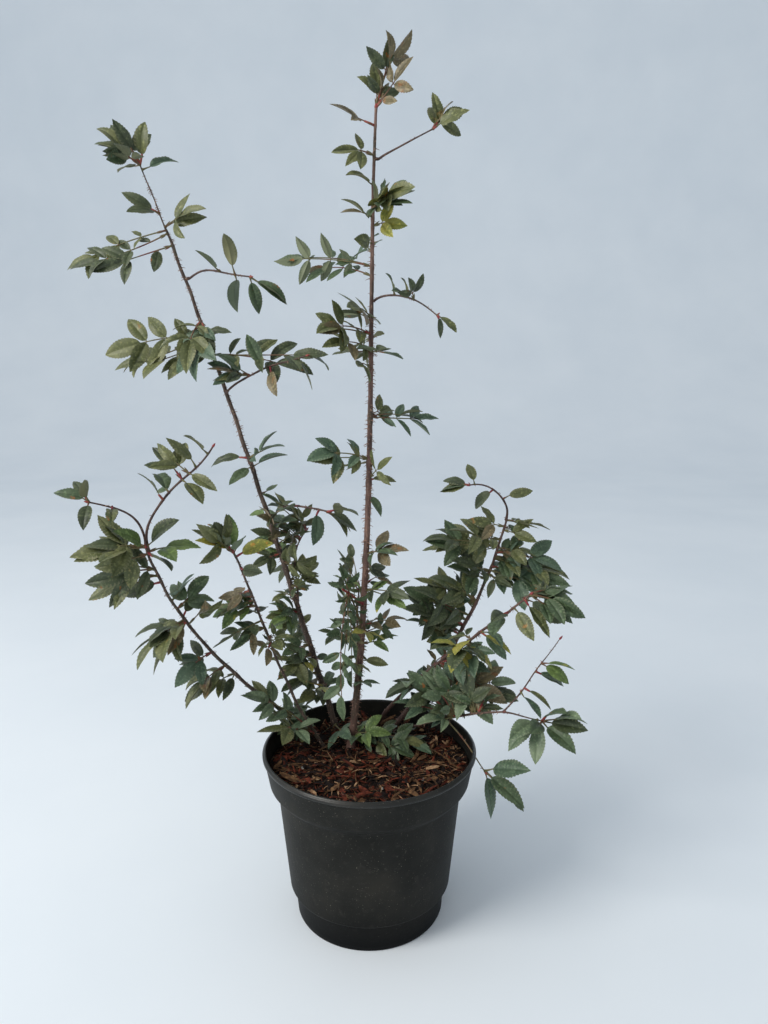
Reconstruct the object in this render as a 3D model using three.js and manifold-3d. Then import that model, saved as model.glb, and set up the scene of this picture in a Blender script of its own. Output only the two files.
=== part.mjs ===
// A bush rose in a 3 litre nursery pot.
// Millimetres, +Z up. The origin is the middle of the pot's flat underside.
// +X is to the right and -Y is the front.
import * as THREE from 'three';
import Module from 'manifold-3d';

// ---------------------------------------------------------------- named sizes
const POT_TOP_RADIUS = 95;        // over the rolled lip, a 19 cm pot
const POT_HEIGHT = 156;
const POT_WALL = 2;
const FOOT_RADIUS = 66.5;         // flat underside
const FOOT_TOP_RADIUS = 68.5;
const FOOT_HEIGHT = 27;
const BODY_LOW_RADIUS = 73;
const BODY_HIGH_RADIUS = 82;
const COLLAR_LOW = 128;           // where the collar starts
const COLLAR_RADIUS = 89.5;
const LIP_HEIGHT = 4;
const SOIL_TOP = 139;
const GAP = 0.35;                 // between pieces that touch
const TURN = 36;                  // facets round the pot
const LIMB_SIDES = 6;
const PAD_SIDES = 8;
const PAD_RINGS = 5;
const UNEVEN = 0.13;              // how far a pad's outline wanders

// Stems and boughs. Each one runs from its foot along a cubic: reach is foot to tip,
// bow is the bulge at the middle, sway is the S-bend. foot and tip are diameters.
const LIMBS = [
  { name: 'cane_centre', from: [-17.7, 24.7, 139], reach: [24.5, -10.7, 547.7], bow: [6.5, -0, 23.8], sway: [25.2, 0, 4.7], foot: 8.2, tip: 2.6 },
  { name: 'cane_left', from: [-32.9, 60, 139], reach: [-169.2, 28, 523.4], bow: [-0.5, 8, 16.4], sway: [-7, -0, -1.5], foot: 6, tip: 2.4 },
  { name: 'cane_far_left', from: [-50.6, 50, 139], reach: [-120.3, -108, 212.8], bow: [-22.5, 0, -3.8], sway: [8.4, 0, 6.1], foot: 4.8, tip: 2.8 },
  { name: 'cane_mid_left', from: [-42, 25, 139], reach: [-70.7, -37, 196.7], bow: [-6.5, 0, 2.9], sway: [-19.6, -0, -11.3], foot: 4, tip: 2.2 },
  { name: 'cane_right', from: [16.9, 56, 139], reach: [114.1, 36, 203], bow: [13.1, 9.9, -11.8], sway: [-11.4, 0.1, -15.5], foot: 6, tip: 3 },
  { name: 'cane_right_low', from: [3.2, 66, 139], reach: [132, -84, 162.2], bow: [2.7, 0, 11.1], sway: [-17.7, 0, 22.7], foot: 5.4, tip: 2.4 },
  { name: 'cane_low_right', from: [16.9, 52, 139], reach: [98.2, -74, 58.5], bow: [-0.2, -0, 4.6], sway: [-12.6, 0, -5.4], foot: 3.4, tip: 2.4 },
  { name: 'bough_far_left', from: [-171, -58, 351.8], reach: [-31.3, -26, 40.1], bow: [7.3, 0, 8.5], sway: [16, 0, 6.2], foot: 2.4, tip: 1.8 },
  { name: 'bough_left_arch', from: [-169.5, -56, 347.3], reach: [46.1, 32, 78.2], bow: [-10.7, 0, 3.3], sway: [-39.8, -0, 13.1], foot: 2.8, tip: 1.8 },
  { name: 'bough_left_red', from: [-93.5, 74, 346.7], reach: [55.5, -34, 13.4], bow: [-1.5, 0, 9.2], sway: [-8.9, -0, 16.8], foot: 2.4, tip: 1.8 },
  { name: 'bough_left_shoot', from: [-69.1, 66, 257.7], reach: [5.9, 32, 73.1], bow: [-6.5, -0, 0.9], sway: [25.1, -0, -4.4], foot: 2.4, tip: 1.8 },
  { name: 'bough_right_top', from: [130.9, 92, 342], reach: [-37.6, -18, 37.1], bow: [9.1, 0, 9.3], sway: [15.5, 0, -6.3], foot: 2.6, tip: 1.8 },
  { name: 'bough_low_right', from: [115, -22, 197.5], reach: [43.1, -12, 70.4], bow: [1.1, 0, -0.1], sway: [5.8, -0, -5.3], foot: 2.4, tip: 1.6 },
];

// Masses of leaves. Each one is an uneven pad along a bowed line. wide is the half width
// seen from the front, thick the half depth, peak where along the line it is widest.
const MASSES = [
  { name: 'leaves_crown_top', from: [-6, 8, 688], reach: [45, -4, 50], bow: [-0, 6, 1], wide: 19, thick: 16, peak: 0.49 },
  { name: 'leaves_crown_upper_left', from: [-6, 29, 622], reach: [-18, -43, 69], bow: [1, 11, 7], wide: 16, thick: 18, peak: 0.51 },
  { name: 'leaves_crown_right', from: [28, 18, 651], reach: [49, -29, 36], bow: [-1, 7, 7], wide: 16, thick: 13, peak: 0.53 },
  { name: 'leaves_upper_right', from: [-16, 13, 594], reach: [53, -37, 26], bow: [4, 10, 6], wide: 21, thick: 40, peak: 0.41 },
  { name: 'leaves_upper_left_arm', from: [1, 33, 571], reach: [-86, 19, 3], bow: [0, 1, 0], wide: 12, thick: 13, peak: 0.43 },
  { name: 'leaves_right_arm', from: [14, -4, 559], reach: [59, -30, -48], bow: [1, 5, -2], wide: 12, thick: 16, peak: 0.47 },
  { name: 'leaves_mid_left_tuft', from: [18, 1, 507], reach: [-51, -31, -8], bow: [-7, 10, 8], wide: 24, thick: 38, peak: 0.39 },
  { name: 'leaves_mid_right_tuft', from: [4, 38, 465], reach: [62, -3, -28], bow: [1, 1, 1], wide: 12, thick: 20, peak: 0.41 },
  { name: 'leaves_mid_left_fan', from: [-5, 2, 435], reach: [-48, 18, -34], bow: [1, 2, -1], wide: 13, thick: 19, peak: 0.45 },
  { name: 'leaves_mid_right_small', from: [8, 39, 364], reach: [15, -47, 52], bow: [-8, 2, 4], wide: 12, thick: 11, peak: 0.53 },
  { name: 'leaves_centre_right', from: [13, 21, 205], reach: [23, -32, 137], bow: [-11, 11, 4], wide: 17, thick: 27, peak: 0.46 },
  { name: 'leaves_centre_left', from: [-25, 46, 182], reach: [-1, -76, 151], bow: [1, 18, 9], wide: 15, thick: 31, peak: 0.49 },
  { name: 'leaves_left_tip', from: [-168, 74, 633], reach: [-70, 33, 68], bow: [-4, -2, -3], wide: 23, thick: 21, peak: 0.49 },
  { name: 'leaves_left_upper_right', from: [-221, 110, 621], reach: [81, -57, -6], bow: [6, 8, 7], wide: 17, thick: 18, peak: 0.5 },
  { name: 'leaves_left_upper_arm', from: [-184, 98, 606], reach: [-93, -33, -28], bow: [4, -1, -11], wide: 16, thick: 12, peak: 0.47 },
  { name: 'leaves_left_long_arm', from: [-151, 69, 582], reach: [81, -29, -46], bow: [8, 8, 9], wide: 20, thick: 15, peak: 0.49 },
  { name: 'leaves_left_hang', from: [-157, 85, 555], reach: [-17, -36, -85], bow: [5, 1, -1], wide: 28, thick: 22, peak: 0.38 },
  { name: 'leaves_left_low_arm', from: [-157, 88, 509], reach: [-90, 27, -22], bow: [-1, -5, -2], wide: 22, thick: 20, peak: 0.46 },
  { name: 'leaves_left_mid_arm', from: [-149, 90, 491], reach: [117, -38, 11], bow: [2, 3, -9], wide: 25, thick: 18, peak: 0.51 },
  { name: 'leaves_left_mid_low', from: [-72, 90, 423], reach: [-71, -46, -37], bow: [-7, 13, -2], wide: 18, thick: 21, peak: 0.48 },
  { name: 'leaves_left_red_fan', from: [-86, 66, 374], reach: [80, -39, -33], bow: [0, 1, -0], wide: 19, thick: 21, peak: 0.54 },
  { name: 'leaves_left_inner', from: [-60, 73, 264], reach: [-38, -21, 106], bow: [-7, 10, -1], wide: 32, thick: 37, peak: 0.38 },
  { name: 'leaves_left_inner_low', from: [-44, 85, 206], reach: [-53, -47, 54], bow: [4, 4, 7], wide: 22, thick: 17, peak: 0.51 },
  { name: 'leaves_low_centre', from: [-35, 51, 193], reach: [-44, -32, 14], bow: [-8, 11, 0], wide: 22, thick: 33, peak: 0.51 },
  { name: 'leaves_far_left_end', from: [-122, -79, 362], reach: [-100, 8, -10], bow: [1, 10, -5], wide: 22, thick: 21, peak: 0.48 },
  { name: 'leaves_far_left_top', from: [-175, -69, 387], reach: [-43, -28, 13], bow: [-4, 4, -5], wide: 12, thick: 14, peak: 0.59 },
  { name: 'leaves_left_arch', from: [-121, -35, 397], reach: [-43, -21, 38], bow: [-11, 11, -7], wide: 33, thick: 29, peak: 0.47 },
  { name: 'leaves_far_left_low', from: [-180, -36, 343], reach: [-35, -33, -29], bow: [-5, 11, -7], wide: 19, thick: 34, peak: 0.44 },
  { name: 'leaves_far_left_hang', from: [-159, -42, 311], reach: [-19, -17, -75], bow: [-9, 18, -2], wide: 20, thick: 29, peak: 0.44 },
  { name: 'leaves_left_fern', from: [-117, 5, 229], reach: [-15, -29, 85], bow: [-10, 0, -2], wide: 15, thick: 11, peak: 0.53 },
  { name: 'leaves_low_left_hang', from: [-145, -1, 249], reach: [-23, -33, -52], bow: [10, 7, -9], wide: 27, thick: 17, peak: 0.42 },
  { name: 'leaves_rim_left', from: [-48, 19, 147], reach: [-70, -14, 57], bow: [-5, 4, -5], wide: 17, thick: 30, peak: 0.54 },
  { name: 'leaves_mid_left_crown', from: [-85, 1, 316], reach: [-53, -42, 50], bow: [-5, 6, -1], wide: 19, thick: 22, peak: 0.52 },
  { name: 'leaves_mid_left_low', from: [-70, -17, 243], reach: [-64, 30, 53], bow: [-5, -6, -2], wide: 31, thick: 28, peak: 0.51 },
  { name: 'leaves_right_top', from: [151, 92, 372], reach: [-88, -31, 2], bow: [-0, 1, 1], wide: 16, thick: 13, peak: 0.52 },
  { name: 'leaves_right_upper', from: [50, 96, 311], reach: [132, -33, 33], bow: [4, 14, -1], wide: 27, thick: 22, peak: 0.59 },
  { name: 'leaves_right_mid', from: [67, 82, 293], reach: [131, -13, -16], bow: [2, 6, 11], wide: 21, thick: 27, peak: 0.53 },
  { name: 'leaves_right_inner', from: [111, 74, 244], reach: [-82, -3, 23], bow: [0, 1, 1], wide: 31, thick: 30, peak: 0.46 },
  { name: 'leaves_right_outer', from: [94, -16, 268], reach: [90, -15, 15], bow: [-0, 5, 6], wide: 20, thick: 30, peak: 0.52 },
  { name: 'leaves_right_low', from: [69, -4, 241], reach: [53, -21, 10], bow: [4, 9, -3], wide: 17, thick: 29, peak: 0.49 },
  { name: 'leaves_right_bottom', from: [21, 35, 170], reach: [111, -45, 11], bow: [0, 6, 23], wide: 33, thick: 26, peak: 0.53 },
  { name: 'leaves_low_right_twig', from: [123, -29, 206], reach: [46, -10, 31], bow: [-6, 5, 11], wide: 17, thick: 13, peak: 0.53 },
  { name: 'leaves_low_right_sprig', from: [116, -73, 185], reach: [58, 12, 31], bow: [-0, 2, -1], wide: 19, thick: 22, peak: 0.48 },
  { name: 'leaves_low_right_hang', from: [91, -31, 154], reach: [47, -6, -46], bow: [2, 3, 2], wide: 26, thick: 13, peak: 0.46 },
  { name: 'leaves_soil_sprigs', from: [58, 28, 137], reach: [-80, -21, 21], bow: [-3, 3, -7], wide: 17, thick: 24, peak: 0.49 },
];

// ---------------------------------------------------------------- tools
const wasm = await Module();
wasm.setup();
const { Manifold, Mesh } = wasm;

const V = (a) => new THREE.Vector3(...a);

function random(seed) {
  let a = seed >>> 0;
  return () => {
    a = (a + 0x6d2b79f5) >>> 0;
    let t = a;
    t = Math.imul(t ^ (t >>> 15), t | 1);
    t ^= t + Math.imul(t ^ (t >>> 7), t | 61);
    return ((t ^ (t >>> 14)) >>> 0) / 4294967296;
  };
}

function solid(points, faces) {
  return new Manifold(new Mesh({
    numProp: 3,
    vertProperties: new Float32Array(points.flatMap((p) => [p.x, p.y, p.z])),
    triVerts: new Uint32Array(faces.flat()),
  }));
}

// rings of the same number of points, closed by a point at each end
function loft(first, rings, last) {
  const n = rings[0].length;
  const points = [first, ...rings.flat(), last];
  const end = points.length - 1;
  const at = (i, j) => 1 + i * n + (j % n);
  const faces = [];
  for (let j = 0; j < n; j++) faces.push([0, at(0, j + 1), at(0, j)]);
  for (let i = 0; i + 1 < rings.length; i++) {
    for (let j = 0; j < n; j++) {
      faces.push([at(i, j), at(i, j + 1), at(i + 1, j + 1)], [at(i, j), at(i + 1, j + 1), at(i + 1, j)]);
    }
  }
  for (let j = 0; j < n; j++) faces.push([end, at(rings.length - 1, j), at(rings.length - 1, j + 1)]);
  const made = solid(points, faces);
  return made.volume() < 0 ? solid(points, faces.map(([a, b, c]) => [a, c, b])) : made;
}

function largest(piece) {
  const parts = piece.decompose();
  parts.sort((a, b) => b.volume() - a.volume());
  return parts[0];
}

function turned(profile) {
  const lathe = new THREE.LatheGeometry(profile.map(([r, z]) => new THREE.Vector2(r, z)), TURN);
  lathe.rotateX(Math.PI / 2);
  const seen = new Map();
  const points = [];
  const pos = lathe.attributes.position;
  const index = [];
  for (let i = 0; i < pos.count; i++) {
    const p = new THREE.Vector3().fromBufferAttribute(pos, i);
    const key = [p.x, p.y, p.z].map((c) => Math.round(c * 1000)).join();
    if (!seen.has(key)) { seen.set(key, points.length); points.push(p); }
    index.push(seen.get(key));
  }
  const faces = [];
  for (let i = 0; i < lathe.index.count; i += 3) {
    const f = [0, 1, 2].map((k) => index[lathe.index.getX(i + k)]);
    if (new Set(f).size === 3) faces.push(f);
  }
  const made = solid(points, faces);
  return made.volume() < 0 ? solid(points, faces.map(([a, b, c]) => [a, c, b])) : made;
}

// ---------------------------------------------------------------- pot and soil
function pot(grow = 0) {
  const g = grow, w = POT_WALL;
  return turned([
    [0, 0 - g], [FOOT_RADIUS + g, 0 - g], [FOOT_TOP_RADIUS + g, FOOT_HEIGHT - g], [BODY_LOW_RADIUS + g, FOOT_HEIGHT + 1 - g],
    [BODY_HIGH_RADIUS + g, COLLAR_LOW - 6 - g], [COLLAR_RADIUS + g, COLLAR_LOW - g],
    [POT_TOP_RADIUS - 1.5 + g, POT_HEIGHT - LIP_HEIGHT - g], [POT_TOP_RADIUS + g, POT_HEIGHT - LIP_HEIGHT + 0.8 - g],
    [POT_TOP_RADIUS + g, POT_HEIGHT - 1.2], [POT_TOP_RADIUS - 1.2, POT_HEIGHT + g], [POT_TOP_RADIUS - 3.2, POT_HEIGHT + g],
    [POT_TOP_RADIUS - 1.5 - w - g, POT_HEIGHT - LIP_HEIGHT], [COLLAR_RADIUS - w - g, COLLAR_LOW + 0.6],
    [BODY_HIGH_RADIUS - w - g, COLLAR_LOW - 5.2], [BODY_LOW_RADIUS - w - g, FOOT_HEIGHT + 3 + g],
    [FOOT_TOP_RADIUS - w - g, FOOT_HEIGHT + 2 + g], [FOOT_RADIUS - w - g, w + 1 + g], [0, w + 1 + g],
  ]);
}

function soil(grow = 0) {
  const g = grow - GAP, w = POT_WALL;
  const slope = (POT_TOP_RADIUS - 1.5 - COLLAR_RADIUS) / (POT_HEIGHT - LIP_HEIGHT - COLLAR_LOW - 0.6);
  return turned([
    [0, w + 1 - g], [FOOT_RADIUS - w + g, w + 1 - g], [FOOT_TOP_RADIUS - w + g - 0.1, FOOT_HEIGHT + 2 - g],
    [BODY_LOW_RADIUS - w + g - 0.1, FOOT_HEIGHT + 3 - g], [BODY_HIGH_RADIUS - w + g, COLLAR_LOW - 5.2 - g],
    [COLLAR_RADIUS - w + g - 0.1, COLLAR_LOW + 0.6 - g],
    [COLLAR_RADIUS - w + g - 0.1 + slope * (SOIL_TOP - COLLAR_LOW - 0.6), SOIL_TOP + grow], [0, SOIL_TOP + grow],
  ]);
}

// ---------------------------------------------------------------- stems and boughs
function along(l, s) {
  return V(l.from).addScaledVector(V(l.reach), s)
    .addScaledVector(V(l.bow), 4 * s * (1 - s))
    .addScaledVector(V(l.sway || [0, 0, 0]), s * (1 - s) * (1 - 2 * s));
}

function limb(l, grow = 0) {
  const cane = l.name.startsWith('cane');
  const length = V(l.reach).length();
  const rings = [];
  const n = Math.round(4 + length / 48);
  const start = cane ? -7 / length : 0;
  for (let i = 0; i <= n; i++) {
    const s = start + ((1 - start) * i) / n;
    const p = along(l, s);
    const t = along(l, s + 0.01).sub(along(l, s - 0.01)).normalize();
    const u = new THREE.Vector3().crossVectors(t, new THREE.Vector3(0.31, 1, 0.17)).normalize();
    const v = new THREE.Vector3().crossVectors(t, u);
    const k = Math.max(0, s);
    const flare = cane ? 0.22 * l.foot * Math.exp(-(k * length) / 9) : 0;
    const r = (l.foot + (l.tip - l.foot) * k) / 2 + flare + grow;
    const ring = [];
    for (let j = 0; j < LIMB_SIDES; j++) {
      const a = (2 * Math.PI * j) / LIMB_SIDES;
      ring.push(p.clone().addScaledVector(u, r * Math.cos(a)).addScaledVector(v, r * Math.sin(a)));
    }
    rings.push(ring);
  }
  const tipward = along(l, 1).sub(along(l, 0.98)).normalize();
  const first = along(l, start);
  const last = along(l, 1).addScaledVector(tipward, l.tip / 2 + grow);
  let made = loft(first, rings, last);
  // the flat cut at ground level
  if (cane) made = made.trimByPlane([0, 0, 1], SOIL_TOP + GAP - grow);
  return made;
}

// ---------------------------------------------------------------- masses of leaves
function pad(m, index, grow = 0) {
  const rnd = random(977 * (index + 3));
  const length = V(m.reach).length();
  const t = V(m.reach).normalize();
  const u = new THREE.Vector3().crossVectors(t, new THREE.Vector3(0, 1, 0));
  if (u.length() < 0.25) u.crossVectors(t, new THREE.Vector3(0, 0, 1));
  u.normalize();
  const v = new THREE.Vector3().crossVectors(u, t);
  const skew = Math.log(0.5) / Math.log(m.peak);
  const rings = [];
  for (let i = 0; i < PAD_RINGS; i++) {
    const s = 0.5 - 0.5 * Math.cos((Math.PI * (i + 0.62)) / (PAD_RINGS + 0.24));
    const swell = Math.sin(Math.PI * Math.pow(s, skew)) ** 0.6;
    const ring = [];
    for (let j = 0; j < PAD_SIDES; j++) {
      const a = (2 * Math.PI * (j + 0.5 * (i % 2))) / PAD_SIDES;
      const wobble = 1 + UNEVEN * (2 * rnd() - 1);
      ring.push(along(m, s)
        .addScaledVector(u, (m.wide * swell * wobble + grow) * Math.cos(a))
        .addScaledVector(v, (m.thick * swell * wobble + grow) * Math.sin(a))
        .addScaledVector(t, 0.05 * length * (rnd() - 0.5)));
    }
    rings.push(ring);
  }
  const first = V(m.from).addScaledVector(t, -grow);
  const last = along(m, 1).addScaledVector(t, grow);
  return loft(first, rings, last);
}

// ---------------------------------------------------------------- assembly
const bush = new THREE.Group();
bush.name = 'potted_rose_bush';

function place(name, piece, colour, roughness) {
  const mesh = piece.getMesh();
  const geometry = new THREE.BufferGeometry();
  geometry.setAttribute('position', new THREE.Float32BufferAttribute(mesh.vertProperties, 3));
  geometry.setIndex(Array.from(mesh.triVerts));
  geometry.computeVertexNormals();
  const node = new THREE.Mesh(geometry, new THREE.MeshStandardMaterial({ color: colour, roughness, metalness: 0 }));
  node.name = name;
  bush.add(node);
}

const thePot = pot();
place('pot', thePot, 0x2c2d2b, 0.55);
place('soil', soil(), 0x3f241a, 0.95);

const grownLimbs = [];
for (const l of LIMBS) {
  let piece = limb(l);
  for (const other of grownLimbs) piece = piece.subtract(other);
  place(l.name, largest(piece), l.name.startsWith('cane') ? 0x55382e : 0x4f3a30, 0.75);
  grownLimbs.push(limb(l, GAP));
}

const LEAF_GREENS = [0x3f5a45, 0x4c5f3c, 0x36503f, 0x5a6440, 0x466048];
const keepOut = [pot(GAP), soil(GAP), ...grownLimbs];
MASSES.forEach((m, i) => {
  let piece = pad(m, i);
  for (const other of keepOut) piece = piece.subtract(other);
  place(m.name, largest(piece), LEAF_GREENS[i % LEAF_GREENS.length], 0.6);
  keepOut.push(pad(m, i, GAP));
});

export default bush;
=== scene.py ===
import math
import bpy
import numpy as np
from mathutils import Matrix, Vector


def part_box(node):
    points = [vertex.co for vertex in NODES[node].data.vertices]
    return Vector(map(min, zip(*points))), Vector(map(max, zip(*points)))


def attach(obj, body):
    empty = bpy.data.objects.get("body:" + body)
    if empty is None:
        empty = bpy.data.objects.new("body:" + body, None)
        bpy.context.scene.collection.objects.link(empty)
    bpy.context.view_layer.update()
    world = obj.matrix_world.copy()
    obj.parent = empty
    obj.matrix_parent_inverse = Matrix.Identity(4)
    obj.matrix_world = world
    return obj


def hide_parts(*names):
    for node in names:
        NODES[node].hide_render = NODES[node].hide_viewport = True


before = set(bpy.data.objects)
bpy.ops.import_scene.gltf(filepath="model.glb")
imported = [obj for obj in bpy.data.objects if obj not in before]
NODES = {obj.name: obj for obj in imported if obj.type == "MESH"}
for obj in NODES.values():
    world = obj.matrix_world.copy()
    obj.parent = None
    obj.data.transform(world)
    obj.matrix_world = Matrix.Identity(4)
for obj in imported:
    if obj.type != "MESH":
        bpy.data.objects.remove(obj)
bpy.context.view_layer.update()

MM = 0.001
rng = np.random.default_rng(1907)

# ---------------------------------------------------------------- camera
cam_data = bpy.data.cameras.new("camera")
cam = bpy.data.objects.new("camera", cam_data)
bpy.context.scene.collection.objects.link(cam)
cam.location = (0.013, -0.636, 0.493)
cam.rotation_euler = (math.radians(90 - 11.12), 0, 0)
cam_data.lens = 27.04
cam_data.sensor_width = 36
cam_data.clip_start = 0.01
cam_data.clip_end = 60
bpy.context.scene.camera = cam

# ---------------------------------------------------------------- tables, millimetres
# limb: name, first point, reach, bow, sway, radius at foot, radius at tip
LIMBS = [
    ("cane_centre", (-17.7, 24.7, 139), (24.5, -10.7, 547.7), (6.5, -0, 23.8), (25.2, 0, 4.7), 4.1, 1.3),
    ("cane_left", (-32.9, 60, 139), (-169.2, 28, 523.4), (-0.5, 8, 16.4), (-7, -0, -1.5), 3, 1.2),
    ("cane_far_left", (-50.6, 50, 139), (-120.3, -108, 212.8), (-22.5, 0, -3.8), (8.4, 0, 6.1), 2.4, 1.4),
    ("cane_mid_left", (-42, 25, 139), (-70.7, -37, 196.7), (-6.5, 0, 2.9), (-19.6, -0, -11.3), 2, 1.1),
    ("cane_right", (16.9, 56, 139), (114.1, 36, 203), (13.1, 9.9, -11.8), (-11.4, 0.1, -15.5), 3, 1.5),
    ("cane_right_low", (3.2, 66, 139), (132, -84, 162.2), (2.7, 0, 11.1), (-17.7, 0, 22.7), 2.7, 1.2),
    ("cane_low_right", (16.9, 52, 139), (98.2, -74, 58.5), (-0.2, -0, 4.6), (-12.6, 0, -5.4), 1.7, 1.2),
    ("cane_thin", (-23.8, 32, 139), (13.4, 16, 149.9), (4.4, 0, -3.5), (12, -0, -22.9), 1.5, 0.9),
    ("bough_far_left", (-171, -58, 351.8), (-31.3, -26, 40.1), (7.3, 0, 8.5), (16, 0, 6.2), 1.2, 0.9),
    ("bough_left_arch", (-169.5, -56, 347.3), (46.1, 32, 78.2), (-10.7, 0, 3.3), (-39.8, -0, 13.1), 1.4, 0.9),
    ("bough_left_red", (-93.5, 74, 346.7), (55.5, -34, 13.4), (-1.5, 0, 9.2), (-8.9, -0, 16.8), 1.2, 0.9),
    ("bough_left_shoot", (-69.1, 66, 257.7), (5.9, 32, 73.1), (-6.5, -0, 0.9), (25.1, -0, -4.4), 1.2, 0.9),
    ("bough_centre_red", (-4.9, 23, 278.7), (-16.1, -31, 22.8), (0.2, 0, 0.7), (0.3, 0, 0.8), 1.3, 1),
    ("bough_right_top", (130.9, 92, 342), (-37.6, -18, 37.1), (9.1, 0, 9.3), (15.5, 0, -6.3), 1.3, 0.9),
    ("bough_low_right", (115, -22, 197.5), (43.1, -12, 70.4), (1.1, 0, -0.1), (5.8, -0, -5.3), 1.2, 0.8),
    ("bough_low_sprig", (115, -22, 197.5), (28, -26, 4.6), (0.4, 0, 0.6), (0.4, 0, 0.6), 1.1, 0.9),
    ("bough_crown_right", (9, 15, 649.7), (41.7, -13, 18.5), (-0.1, -0, 0.6), (-2.7, 0, 4.4), 1.2, 0.8),
    ("bough_right_long", (4.8, 18, 541.3), (49.6, -36, -13.2), (1.6, 0, 8.2), (-3.8, 0, 14), 1.1, 0.8),
    ("bough_left_long", (-162.6, 88, 566.6), (59.7, -32, -2.4), (-0.2, -0, 5.2), (-2.6, -0, 19.5), 1.2, 0.9),
    ("bough_left_mid", (-130.6, 80, 465.8), (74.2, -18, 31.5), (-1.4, -0, 4.5), (-4.8, -0, 7), 1.2, 0.9),
    ("bough_hanging_twig", (69.1, 10, 174.8), (31.7, -34, -31.4), (1.2, 0, 0.5), (3.7, -0, 4), 0.9, 0.8),
]
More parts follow.
